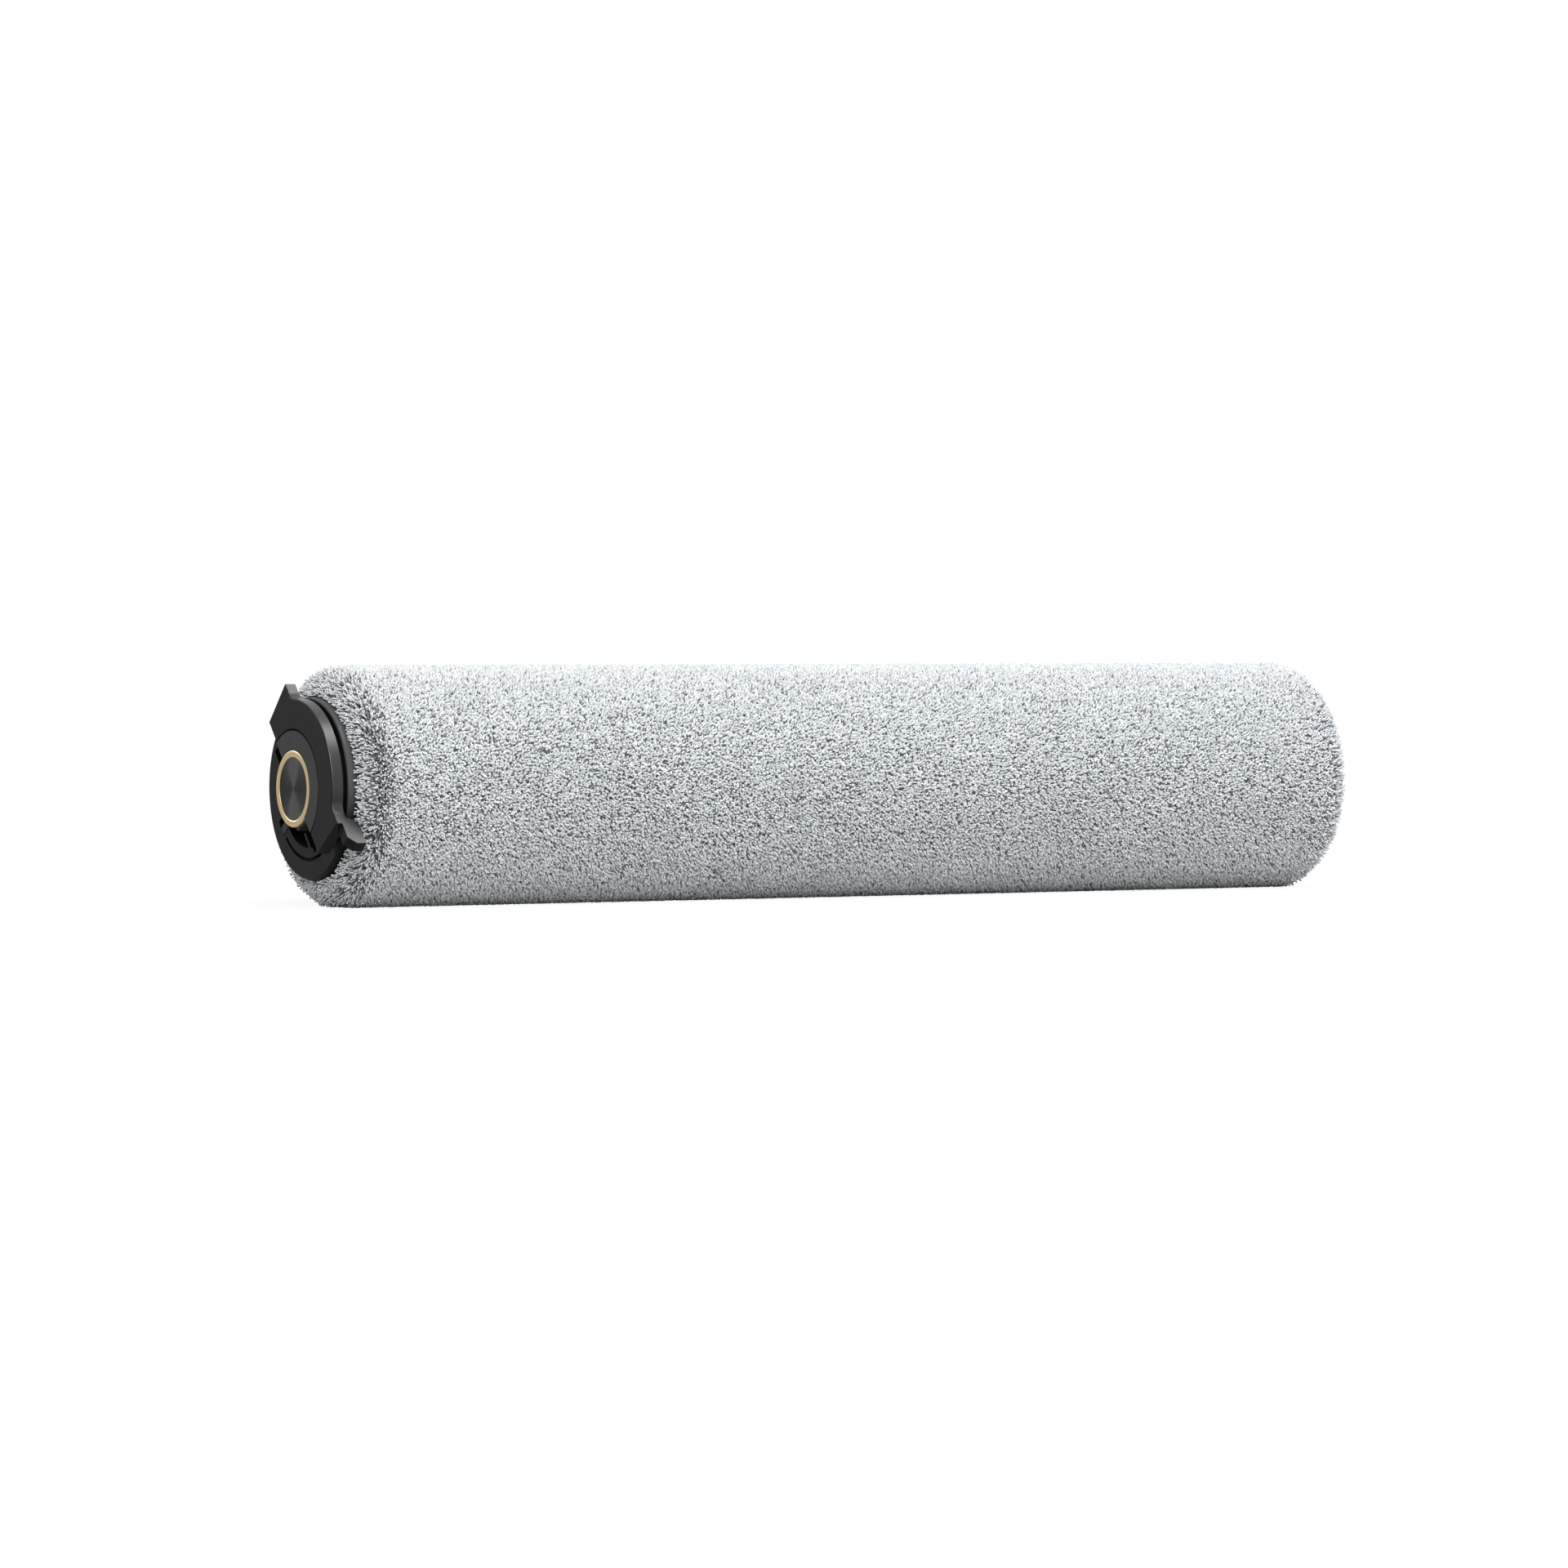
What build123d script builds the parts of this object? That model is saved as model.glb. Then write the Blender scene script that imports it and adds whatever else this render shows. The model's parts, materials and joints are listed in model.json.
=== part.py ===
"""Mop roller for a wet floor-cleaning vacuum.

A soft pile sleeve on a core tube turns about an end cap that stays still in the floor head. The cap carries
the half-moon grip plate, its locating hook and a sprung press button. The far end takes the drive shaft.

Every piece is drawn in the axis frame: z runs along the roller's axis, from the cap's front face into the
roller, x along the grip plate's straight edge, and y towards the half that the plate covers. place() turns a
piece into the roller's own frame: X along the axis towards the drive end, Z up, origin under the middle.
"""
import os
from math import cos, hypot, pi, radians, sin, sqrt

from build123d import *

# Roller, in millimetres
PILE_RADIUS = 27.5           # over the tips of the pile
PILE_LENGTH = 266.0
PILE_END_ROUND = 8.0
REST_FLAT_WIDTH = 12.0       # flat spot under the soft pile
CAP_PROUD = 5.0              # cap's front face ahead of the pile
GRIP_TURN = 48.8             # degrees from level to the grip plate's straight edge
RUNNING_GAP = 0.4            # between the cap and what turns round it
SLIDING_GAP = 0.3            # round the button's moving parts
BEARING_GAP = 0.05           # shafts and lips that run in a fit

# Core tube and its plugs
TUBE_RADIUS = 18.5
TUBE_WALL = 1.8
CARRIER_FLANGE = 1.2
CARRIER_LENGTH = 30.0
CARRIER_SHOULDER = 2.5
CARRIER_SKIRT = 2.4
DRIVE_RECESS = 3.0           # plug's face behind the end of the pile
DRIVE_FLANGE = 2.0
DRIVE_PLUG_LENGTH = 30.0
DRIVE_WEB = 4.0
DRIVE_SKIRT = 1.8
DRIVE_HUB_WALL = 3.0
SOCKET_BORE = 7.5
SOCKET_DEPTH = 18.0
SOCKET_FLOOR = 2.0
SOCKET_WALL = 3.6
SOCKET_KEYS = 4
SOCKET_KEY_WIDTH = 2.4
SOCKET_KEY_DEPTH = 1.7
SOCKET_RIBS = 3
SOCKET_RIB_WIDTH = 3.0
SOCKET_RIB_HEIGHT = 1.2

# Cap base
BASE_RADIUS = 20.6
BASE_FRONT = 3.8             # depth of the base's front face
BASE_THICKNESS = 4.2
BASE_EDGE = 0.4
WELL_RADIUS = 13.4
WELL_DEPTH = 5.0
WELL_FLOOR_THICKNESS = 1.5
CUP_WALL = 1.6
BOSS_RADIUS = 8.0
BOSS_LENGTH = 9.7
CHANNEL_REACH = 17.3         # along x, on the side of the plain horn
CHANNEL_EDGE = 7.6           # its lower edge there
CHANNEL_SHORT_REACH = 13.2   # on the side of the hook
CHANNEL_SHORT_EDGE = 6.8
CHANNEL_DEPTH = 2.8
CHANNEL_COVERED = 3.0        # how far it runs in under the grip plate
SLOT_RADIUS = 15.95          # middle of the arc slot
SLOT_WIDTH = 0.8
SLOT_DEPTH = 2.4
SLOT_START = 189.0           # degrees in the axis frame
SLOT_SWEEP = 77.0
NOTCH_SPARE = 2.0            # open width beside the guide arm
RIB_EDGE = 7.5               # upper side of the well's rib
RIB_THICKNESS = 0.8
RIB_START = 6.5              # distance of the rib's free end from the middle

# Half-moon grip plate
GRIP_RADIUS = 20.3
GRIP_THICKNESS = 2.7
GRIP_EDGE_ROUND = 0.35
HORN_ROOT = 19.35            # half length of the straight edge
HORN_TIP = 20.4
HORN_HEIGHT = 12.4
HORN_FILLET = 3.7
STRAIGHT_EDGE = 0.4          # place of the straight edge in y
LAND_RADIUS = 18.6           # raised land that seats on the base
LAND_START = 3.4
HOOK_FRONT = 1.35
HOOK_BACK = 5.5
HOOK_REACH = 26.15
HOOK_CHAMFER = 1.8
HOOK_ROOT = 18.9
HOOK_ROUND = 2.9             # corner that passes the pile
HOOK_THICKNESS = 2.85
SCREW_COUNT = 3
SCREW_CIRCLE = 17.2
SCREW_SPREAD = 50.0          # degrees between neighbours
SCREW_RADIUS = 1.1
SCREW_HEAD_RADIUS = 2.0
SCREW_HEAD_HEIGHT = 1.4
SCREW_BITE = 1.5             # plate left in front of a screw's end
SCREW_DRIVE_LENGTH = 2.8
SCREW_DRIVE_WIDTH = 0.6
SCREW_DRIVE_DEPTH = 0.6

# Press button
BUTTON_TRAVEL = 2.0
BUTTON_THICKNESS = 2.0
PAD_RADIUS = 8.7
PAD_STEP = 0.9               # depth of the ring and disc in the pad
TRIM_WIDTH = 1.6
TRIM_ROUND = 0.3
DISC_SET_BACK = 0.2
STEM_RADIUS = 2.5
STEM_TAIL = 0.8
ARM_WIDTH = 1.9
ARM_HEIGHT = 1.5
ARM_FRONT = 3.7              # its face stands level with the base's
ARM_TIP = 16.3
ARM_OFFSET = 1.0             # middle of the arm, in x
ARM_ROOT = 5.0               # its foot under the pad, from the axis
ARM_FOOT = 3.0
POST_RADIUS = 1.2
POST_X = -5.4
POST_Y = -6.4
CLIP_THICKNESS = 0.6
CLIP_GROOVE = 0.6
CLIP_RADIUS = 4.0
CLIP_MOUTH = 60.0            # degrees of a retaining ring's opening
SPRING_MEAN_RADIUS = 3.5
SPRING_WIRE = 0.35
SPRING_TURNS = 4.5

# Axle and ball bearing
AXLE_RADIUS = 4.0
AXLE_HEAD_RADIUS = 5.0
AXLE_HEAD_LENGTH = 5.0
AXLE_TAIL = 2.0
AXLE_GROOVE = 0.5
AXLE_RING_THICKNESS = 1.0
AXLE_RING_RADIUS = 6.4
WASHER_RADIUS = 6.0
WASHER_THICKNESS = 1.5
BEARING_RADIUS = 11.0
BEARING_WIDTH = 7.0
BALL_RADIUS = 1.985
BALL_COUNT = 7
BALL_GAP = 0.06
LAND_GAP = 3.1               # between the lands of the two races
CAGE_THICKNESS = 1.2
CAGE_WIDTH = 3.2
CAGE_POCKET_GAP = 0.15
SHIELD_THICKNESS = 0.35
SHIELD_SET_BACK = 0.3
SHIELD_BITE = 0.5
SHIELD_GAP = 0.2
CARRIER_RING_THICKNESS = 1.2
CARRIER_RING_WIDTH = 1.4
CARRIER_RING_GROOVE = 0.6
SEAL_RADIUS = 12.5
SEAL_WIDTH = 5.0
SEAL_WALL = 1.1
SEAL_LIP = 1.2

# Places along the axis, worked out from the sizes above
OVERALL_LENGTH = CAP_PROUD + PILE_LENGTH
AXIS_HEIGHT = sqrt(PILE_RADIUS**2 - (REST_FLAT_WIDTH / 2) ** 2)
BASE_BACK = BASE_FRONT + BASE_THICKNESS
WELL_FLOOR = BASE_FRONT + WELL_DEPTH
FLOOR_BACK = WELL_FLOOR + WELL_FLOOR_THICKNESS
CUP_RADIUS = WELL_RADIUS + CUP_WALL
BOSS_END = FLOOR_BACK + BOSS_LENGTH
CARRIER_FRONT = BASE_BACK + RUNNING_GAP
TUBE_START = CARRIER_FRONT + CARRIER_FLANGE
CARRIER_END = TUBE_START + CARRIER_LENGTH
DRIVE_FACE = OVERALL_LENGTH - DRIVE_RECESS
TUBE_END = DRIVE_FACE - DRIVE_FLANGE
TUBE_BORE = TUBE_RADIUS - TUBE_WALL
BEARING_START = BOSS_END + WASHER_THICKNESS
BEARING_END = BEARING_START + BEARING_WIDTH
BEARING_MIDDLE = BEARING_START + BEARING_WIDTH / 2
BALL_CIRCLE = (AXLE_RADIUS + BEARING_RADIUS) / 2
INNER_LAND = BALL_CIRCLE - LAND_GAP / 2
OUTER_LAND = BALL_CIRCLE + LAND_GAP / 2
RING_START = BEARING_START - CARRIER_RING_THICKNESS
SEAL_START = FLOOR_BACK + RUNNING_GAP
SEAL_END = SEAL_START + SEAL_WIDTH
BUTTON_RADIUS = WELL_RADIUS - SLIDING_GAP
TRIM_BORE = PAD_RADIUS - TRIM_WIDTH
CLIP_START = FLOOR_BACK + BEARING_GAP
SOCKET_RADIUS = SOCKET_BORE + SOCKET_WALL
NOTCH_LOW = ARM_OFFSET - ARM_WIDTH / 2 - SLIDING_GAP
NOTCH_HIGH = ARM_OFFSET + ARM_WIDTH / 2 + NOTCH_SPARE
NOTCH_REACH = ARM_TIP + SLIDING_GAP
ARM_BACK = ARM_FRONT + ARM_HEIGHT
NOTCH_FLOOR = ARM_BACK + BUTTON_TRAVEL + SLIDING_GAP
POST_END = WELL_FLOOR - BUTTON_TRAVEL - SLIDING_GAP
AXIS_FRAME = Plane(
    origin=(-OVERALL_LENGTH / 2, 0, AXIS_HEIGHT),
    x_dir=(0, cos(radians(GRIP_TURN)), sin(radians(GRIP_TURN))),
    z_dir=(1, 0, 0),
)


def turned(*outline):
    """Solid of revolution from a closed outline of (radius, depth) points."""
    face = make_face(Plane.XZ * Polyline(*outline, close=True))
    return revolve(face, Axis.Z)


def tube(outer, inner, start, end):
    """Straight ring or tube between two depths."""
    return turned((inner, start), (outer, start), (outer, end), (inner, end))


def rod(radius, start, end):
    """Straight round bar between two depths."""
    return Pos(0, 0, start) * extrude(Circle(radius), end - start)


def block(low, high):
    """Box between two corners."""
    size = [b - a for a, b in zip(low, high)]
    middle = [(a + b) / 2 for a, b in zip(low, high)]
    return Pos(*middle) * Box(*size)


def group(shapes):
    """Separate solids that share one node."""
    return Compound([solid for shape in shapes for solid in shape.solids()])


def around(count, shape):
    """Copies of a shape, evenly spaced about the axis."""
    return [Rot(0, 0, 360 / count * i) * shape for i in range(count)]


def retaining_ring(outer, inner, start, thickness):
    """Ring with an open mouth that springs into a groove."""
    reach = 2 * outer
    half = radians(CLIP_MOUTH / 2)
    mouth = make_face(Polyline((0, 0), (reach, -reach * sin(half)), (reach, reach * sin(half)), close=True))
    return tube(outer, inner, start, start + thickness) - Pos(0, 0, start) * extrude(mouth, thickness)


def place(shape):
    """From the axis frame to the roller's own frame."""
    return AXIS_FRAME.location * shape


def pile_sleeve():
    """Pile and backing, open round the cap, rounded at both ends, with its flat spot."""
    start = CAP_PROUD
    end = OVERALL_LENGTH
    mouth = BASE_RADIUS + RUNNING_GAP
    ring = PILE_RADIUS - PILE_END_ROUND
    outer = [
        Line((mouth, CARRIER_FRONT), (mouth, start)),
        Line((mouth, start), (PILE_RADIUS, start)),
        Line((PILE_RADIUS, start), (PILE_RADIUS, end)),
        Line((PILE_RADIUS, end), (TUBE_RADIUS, end)),
        Line((TUBE_RADIUS, end), (TUBE_RADIUS, CARRIER_FRONT)),
        Line((TUBE_RADIUS, CARRIER_FRONT), (mouth, CARRIER_FRONT)),
    ]
    body = revolve(make_face(Plane.XZ * Wire(outer)), Axis.Z)
    for depth, inwards in ((start, 1), (end, -1)):
        middle = depth + inwards * PILE_END_ROUND
        corner = tube(2 * PILE_RADIUS, ring, min(depth, middle), max(depth, middle))
        body -= corner - Pos(0, 0, middle) * Torus(ring, PILE_END_ROUND)
    floor = block(
        (-OVERALL_LENGTH, -PILE_RADIUS, -PILE_RADIUS),
        (OVERALL_LENGTH, PILE_RADIUS, 0),
    )
    return place(body) - floor


def core_tube():
    return place(tube(TUBE_RADIUS, TUBE_BORE, TUBE_START, TUBE_END))


def bearing_carrier():
    """Plug with a flange on the tube's end, and seats for the seal, the bearing and its ring."""
    mouth = CUP_RADIUS + RUNNING_GAP
    back = BEARING_END + CARRIER_SHOULDER
    hollow = TUBE_BORE - CARRIER_SKIRT
    shoulder = OUTER_LAND
    groove = BEARING_RADIUS + CARRIER_RING_GROOVE
    return place(turned(
        (mouth, CARRIER_FRONT), (TUBE_RADIUS, CARRIER_FRONT), (TUBE_RADIUS, TUBE_START),
        (TUBE_BORE, TUBE_START), (TUBE_BORE, CARRIER_END), (hollow, CARRIER_END), (hollow, back),
        (shoulder, back), (shoulder, BEARING_END), (BEARING_RADIUS, BEARING_END),
        (BEARING_RADIUS, BEARING_START), (groove, BEARING_START), (groove, RING_START),
        (BEARING_RADIUS, RING_START), (BEARING_RADIUS, SEAL_END), (SEAL_RADIUS, SEAL_END),
        (SEAL_RADIUS, SEAL_START), (mouth, SEAL_START),
    ))


def ball_track():
    """Torus that both races are grooved by."""
    return Pos(0, 0, BEARING_MIDDLE) * Torus(BALL_CIRCLE, BALL_RADIUS + BALL_GAP)


def bearing_outer_race():
    race = tube(BEARING_RADIUS, OUTER_LAND, BEARING_START, BEARING_END) - ball_track()
    for seat in shield_spans():
        race -= tube(OUTER_LAND + SHIELD_BITE, OUTER_LAND - SHIELD_BITE, *seat)
    return place(race)


def bearing_inner_race():
    return place(tube(INNER_LAND, AXLE_RADIUS, BEARING_START, BEARING_END) - ball_track())


def shield_spans():
    """Depths of the two shields, set back from the bearing's faces."""
    front = BEARING_START + SHIELD_SET_BACK
    back = BEARING_END - SHIELD_SET_BACK
    return ((front, front + SHIELD_THICKNESS), (back - SHIELD_THICKNESS, back))


def bearing_shields():
    shields = [tube(OUTER_LAND + SHIELD_BITE, INNER_LAND + SHIELD_GAP, *span) for span in shield_spans()]
    return place(group(shields))


def ball_places():
    """Centres of the balls and of their pockets."""
    step = 2 * pi / BALL_COUNT
    turns = [i * step for i in range(BALL_COUNT)]
    return [(BALL_CIRCLE * cos(turn), BALL_CIRCLE * sin(turn), BEARING_MIDDLE) for turn in turns]


def bearing_balls():
    return place(group([Pos(*centre) * Sphere(BALL_RADIUS) for centre in ball_places()]))


def bearing_cage():
    half = CAGE_THICKNESS / 2
    cage = tube(
        BALL_CIRCLE + half, BALL_CIRCLE - half,
        BEARING_MIDDLE - CAGE_WIDTH / 2, BEARING_MIDDLE + CAGE_WIDTH / 2 + half,
    )
    for centre in ball_places():
        cage -= Pos(*centre) * Sphere(BALL_RADIUS + CAGE_POCKET_GAP)
    return place(cage)


def carrier_ring():
    groove = BEARING_RADIUS + CARRIER_RING_GROOVE
    inner = BEARING_RADIUS - CARRIER_RING_WIDTH
    return place(retaining_ring(groove, inner, RING_START, CARRIER_RING_THICKNESS))


def shaft_seal():
    """Rubber seal with a tapered lip that runs on the cap's boss."""
    lip = BOSS_RADIUS + BEARING_GAP
    wall = SEAL_RADIUS - SEAL_WALL
    return place(turned(
        (lip, SEAL_START), (SEAL_RADIUS, SEAL_START), (SEAL_RADIUS, SEAL_END), (wall, SEAL_END),
        (wall, SEAL_START + SEAL_WALL), (lip + SEAL_LIP, SEAL_START + SEAL_WALL),
        (lip, SEAL_START + SEAL_LIP / 2),
    ))


def cap_base():
    """Round base: the well for the button, the channel, arc slot and notch, and the boss of the axle."""
    stem_hole = STEM_RADIUS + BEARING_GAP
    body = turned(
        (WELL_RADIUS, BASE_FRONT), (BASE_RADIUS - BASE_EDGE, BASE_FRONT),
        (BASE_RADIUS, BASE_FRONT + BASE_EDGE), (BASE_RADIUS, BASE_BACK), (CUP_RADIUS, BASE_BACK),
        (CUP_RADIUS, FLOOR_BACK), (BOSS_RADIUS, FLOOR_BACK), (BOSS_RADIUS, BOSS_END),
        (AXLE_HEAD_RADIUS, BOSS_END), (AXLE_HEAD_RADIUS, FLOOR_BACK), (stem_hole, FLOOR_BACK),
        (stem_hole, WELL_FLOOR), (WELL_RADIUS, WELL_FLOOR),
    )
    covered = STRAIGHT_EDGE + CHANNEL_COVERED
    channel_floor = BASE_FRONT + CHANNEL_DEPTH
    body -= block((0, -CHANNEL_EDGE, BASE_FRONT), (CHANNEL_REACH, covered, channel_floor))
    body -= block((-CHANNEL_SHORT_REACH, -CHANNEL_SHORT_EDGE, BASE_FRONT), (0, covered, channel_floor))
    slot = tube(
        SLOT_RADIUS + SLOT_WIDTH / 2, SLOT_RADIUS - SLOT_WIDTH / 2,
        BASE_FRONT, BASE_FRONT + SLOT_DEPTH,
    )
    body -= slot & wedge(SLOT_START, SLOT_SWEEP)
    body -= block((NOTCH_LOW, -NOTCH_REACH, BASE_FRONT), (NOTCH_HIGH, -ARM_ROOT, NOTCH_FLOOR))
    chord = sqrt(WELL_RADIUS**2 - RIB_EDGE**2)
    body += block((-chord, -RIB_EDGE - RIB_THICKNESS, BASE_FRONT), (-RIB_START, -RIB_EDGE, WELL_FLOOR))
    for hole in screw_places():
        body -= hole * rod(SCREW_RADIUS, BASE_FRONT, BASE_BACK)
        body -= hole * rod(SCREW_HEAD_RADIUS, BASE_BACK - SCREW_HEAD_HEIGHT, BASE_BACK)
    return place(body)


def wedge(start, sweep):
    """Sector of a disc that is deeper and wider than the base, for cutting arcs."""
    reach = 2 * BASE_RADIUS
    corner = [(reach * cos(radians(a)), reach * sin(radians(a))) for a in (start, start + sweep)]
    face = make_face(Polyline((0, 0), *corner, close=True))
    return extrude(face, BASE_BACK)


def screw_places():
    """Places of the plate's screws on their circle, about the middle of the covered half."""
    first = 90 - SCREW_SPREAD * (SCREW_COUNT - 1) / 2
    return [Rot(0, 0, first + SCREW_SPREAD * i) * Pos(SCREW_CIRCLE, 0, 0) for i in range(SCREW_COUNT)]


def grip_outline():
    """Half disc with a horn at each end, filleted into the rim."""
    reach = 2 * GRIP_RADIUS
    half = Circle(GRIP_RADIUS) & Pos(0, STRAIGHT_EDGE + reach / 2) * Rectangle(reach, reach)
    horns = make_face(Polyline(
        (-HORN_ROOT, STRAIGHT_EDGE), (HORN_ROOT, STRAIGHT_EDGE),
        (HORN_TIP, HORN_HEIGHT), (-HORN_TIP, HORN_HEIGHT), close=True,
    ))
    spare = reach - HORN_HEIGHT
    between = horns + Pos(0, HORN_HEIGHT + spare / 2) * Rectangle(2 * HORN_TIP, spare)
    plate = (half & between) + horns
    inner_x = sqrt(GRIP_RADIUS**2 - HORN_HEIGHT**2)
    corners = [v for v in plate.vertices() if hypot(abs(v.X) - inner_x, v.Y - HORN_HEIGHT) < HORN_FILLET / 10]
    return fillet(corners, HORN_FILLET)


def grip_plate():
    plate = extrude(grip_outline() - Circle(WELL_RADIUS), GRIP_THICKNESS)
    front = plate.faces().sort_by(Axis.Z)[0]
    plate = fillet(front.outer_wire().edges(), GRIP_EDGE_ROUND)
    land = tube(LAND_RADIUS, WELL_RADIUS, GRIP_THICKNESS, BASE_FRONT)
    land &= block((-BASE_RADIUS, LAND_START, GRIP_THICKNESS), (BASE_RADIUS, BASE_RADIUS, BASE_FRONT))
    plate += land
    plate += hook()
    for hole in screw_places():
        plate -= hole * rod(SCREW_RADIUS, SCREW_BITE, BASE_FRONT)
    return place(plate)


def hook():
    """Locating hook on one horn: a bar with a chamfered front, rounded where it passes the pile."""
    side = make_face(Plane.XZ * Polyline(
        (-HOOK_ROOT, HOOK_FRONT), (-HOOK_REACH + HOOK_CHAMFER, HOOK_FRONT),
        (-HOOK_REACH, HOOK_FRONT + HOOK_CHAMFER), (-HOOK_REACH, HOOK_BACK), (-HOOK_ROOT, HOOK_BACK),
        close=True,
    ))
    bar = Pos(0, HORN_HEIGHT, 0) * extrude(side, HOOK_THICKNESS, dir=(0, -1, 0))
    corner = bar.edges().filter_by(Axis.Y).sort_by(lambda edge: edge.center().X + edge.center().Z)[-1]
    return fillet(corner, HOOK_ROUND)


def grip_screws():
    head = BASE_BACK - SCREW_HEAD_HEIGHT
    screw = rod(SCREW_RADIUS, SCREW_BITE, head) + rod(SCREW_HEAD_RADIUS, head, BASE_BACK)
    for turn in (0, 90):
        screw -= Rot(0, 0, turn) * block(
            (-SCREW_DRIVE_LENGTH / 2, -SCREW_DRIVE_WIDTH / 2, BASE_BACK - SCREW_DRIVE_DEPTH),
            (SCREW_DRIVE_LENGTH / 2, SCREW_DRIVE_WIDTH / 2, BASE_BACK),
        )
    return place(group([hole * screw for hole in screw_places()]))


def axle():
    groove = BEARING_END
    bar = rod(AXLE_HEAD_RADIUS, BOSS_END - AXLE_HEAD_LENGTH, BOSS_END)
    bar += rod(AXLE_RADIUS, BOSS_END, BEARING_END + AXLE_RING_THICKNESS + AXLE_TAIL)
    bar -= tube(2 * AXLE_RADIUS, AXLE_RADIUS - AXLE_GROOVE, groove, groove + AXLE_RING_THICKNESS)
    return place(bar)


def spacer_washer():
    return place(tube(WASHER_RADIUS, AXLE_RADIUS, BOSS_END, BEARING_START))


def axle_ring():
    groove = AXLE_RADIUS - AXLE_GROOVE
    return place(retaining_ring(AXLE_RING_RADIUS, groove, BEARING_END, AXLE_RING_THICKNESS))


def press_plate():
    """Half disc and round pad in one piece, with its stem, guide arm and guide post."""
    reach = 2 * BUTTON_RADIUS
    half = Circle(BUTTON_RADIUS) & Pos(0, STRAIGHT_EDGE + reach / 2) * Rectangle(reach, reach)
    plate = extrude(half, BUTTON_THICKNESS) - rod(PAD_RADIUS, 0, PAD_STEP)
    plate += rod(PAD_RADIUS, PAD_STEP, BUTTON_THICKNESS)
    plate += rod(STEM_RADIUS, BUTTON_THICKNESS, CLIP_START + CLIP_THICKNESS + STEM_TAIL)
    plate -= tube(2 * STEM_RADIUS, STEM_RADIUS - CLIP_GROOVE, CLIP_START, CLIP_START + CLIP_THICKNESS)
    low = ARM_OFFSET - ARM_WIDTH / 2
    high = ARM_OFFSET + ARM_WIDTH / 2
    plate += block((low, -ARM_ROOT - ARM_FOOT, BUTTON_THICKNESS), (high, -ARM_ROOT, ARM_BACK))
    plate += block((low, -ARM_TIP, ARM_FRONT), (high, -ARM_ROOT, ARM_BACK))
    plate += Pos(POST_X, POST_Y, 0) * rod(POST_RADIUS, BUTTON_THICKNESS, POST_END)
    return place(plate)


def trim_ring():
    ring = tube(PAD_RADIUS, TRIM_BORE, 0, PAD_STEP)
    front = ring.faces().sort_by(Axis.Z)[0]
    return place(fillet(front.edges(), TRIM_ROUND))


def spun_disc():
    return place(rod(TRIM_BORE, DISC_SET_BACK, PAD_STEP))


def stem_ring():
    return place(retaining_ring(CLIP_RADIUS, STEM_RADIUS - CLIP_GROOVE, CLIP_START, CLIP_THICKNESS))


def return_spring():
    """Round-wire coil between the pad and the floor of the well."""
    start = BUTTON_THICKNESS + SPRING_WIRE
    height = WELL_FLOOR - SPRING_WIRE - start
    path = Pos(0, 0, start) * Helix(height / SPRING_TURNS, height, SPRING_MEAN_RADIUS)
    section = Plane(path @ 0, z_dir=path % 0) * Circle(SPRING_WIRE)
    return place(sweep(section, path=path, is_frenet=True))


def drive_plug():
    """Plug with a flange on the tube's end, a skirt in the tube and a hub for the socket."""
    hub = SOCKET_RADIUS + DRIVE_HUB_WALL
    skirt = TUBE_BORE - DRIVE_SKIRT
    web = DRIVE_FACE - DRIVE_WEB
    hub_end = DRIVE_FACE - SOCKET_DEPTH - SOCKET_FLOOR
    skirt_end = DRIVE_FACE - DRIVE_PLUG_LENGTH
    plug = turned(
        (SOCKET_RADIUS, DRIVE_FACE), (TUBE_RADIUS, DRIVE_FACE), (TUBE_RADIUS, TUBE_END),
        (TUBE_BORE, TUBE_END), (TUBE_BORE, skirt_end), (skirt, skirt_end), (skirt, web),
        (hub, web), (hub, hub_end), (SOCKET_RADIUS, hub_end),
    )
    for rib in around(SOCKET_RIBS, socket_rib()):
        plug -= rib
    return place(plug)


def socket_rib():
    """Rib that keeps the socket from turning in its plug."""
    back = DRIVE_FACE - SOCKET_DEPTH - SOCKET_FLOOR
    return block(
        (SOCKET_BORE + SOCKET_KEY_DEPTH, -SOCKET_RIB_WIDTH / 2, back),
        (SOCKET_RADIUS + SOCKET_RIB_HEIGHT, SOCKET_RIB_WIDTH / 2, DRIVE_FACE),
    )


def drive_socket():
    """Blind socket with a round wall and key slots for the drive shaft."""
    floor = DRIVE_FACE - SOCKET_DEPTH
    socket = rod(SOCKET_RADIUS, floor - SOCKET_FLOOR, DRIVE_FACE)
    for rib in around(SOCKET_RIBS, socket_rib()):
        socket += rib
    socket -= rod(SOCKET_BORE, floor, DRIVE_FACE)
    key = block(
        (0, -SOCKET_KEY_WIDTH / 2, floor),
        (SOCKET_BORE + SOCKET_KEY_DEPTH, SOCKET_KEY_WIDTH / 2, DRIVE_FACE),
    )
    for slot in around(SOCKET_KEYS, key):
        socket -= slot
    return place(socket)


PIECES = (
    pile_sleeve, core_tube, bearing_carrier, bearing_outer_race, bearing_shields, carrier_ring, shaft_seal,
    drive_plug, drive_socket, cap_base, grip_plate, grip_screws, axle, spacer_washer, bearing_inner_race,
    axle_ring, return_spring, bearing_balls, bearing_cage, press_plate, trim_ring, spun_disc, stem_ring,
)

os.makedirs("parts", exist_ok=True)
for piece in PIECES:
    export_step(piece(), f"parts/{piece.__name__}.step")
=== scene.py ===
"""Looks of a mop roller for a wet floor vacuum: its cut pile, its end cap and a plain studio."""
import json
import math

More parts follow.
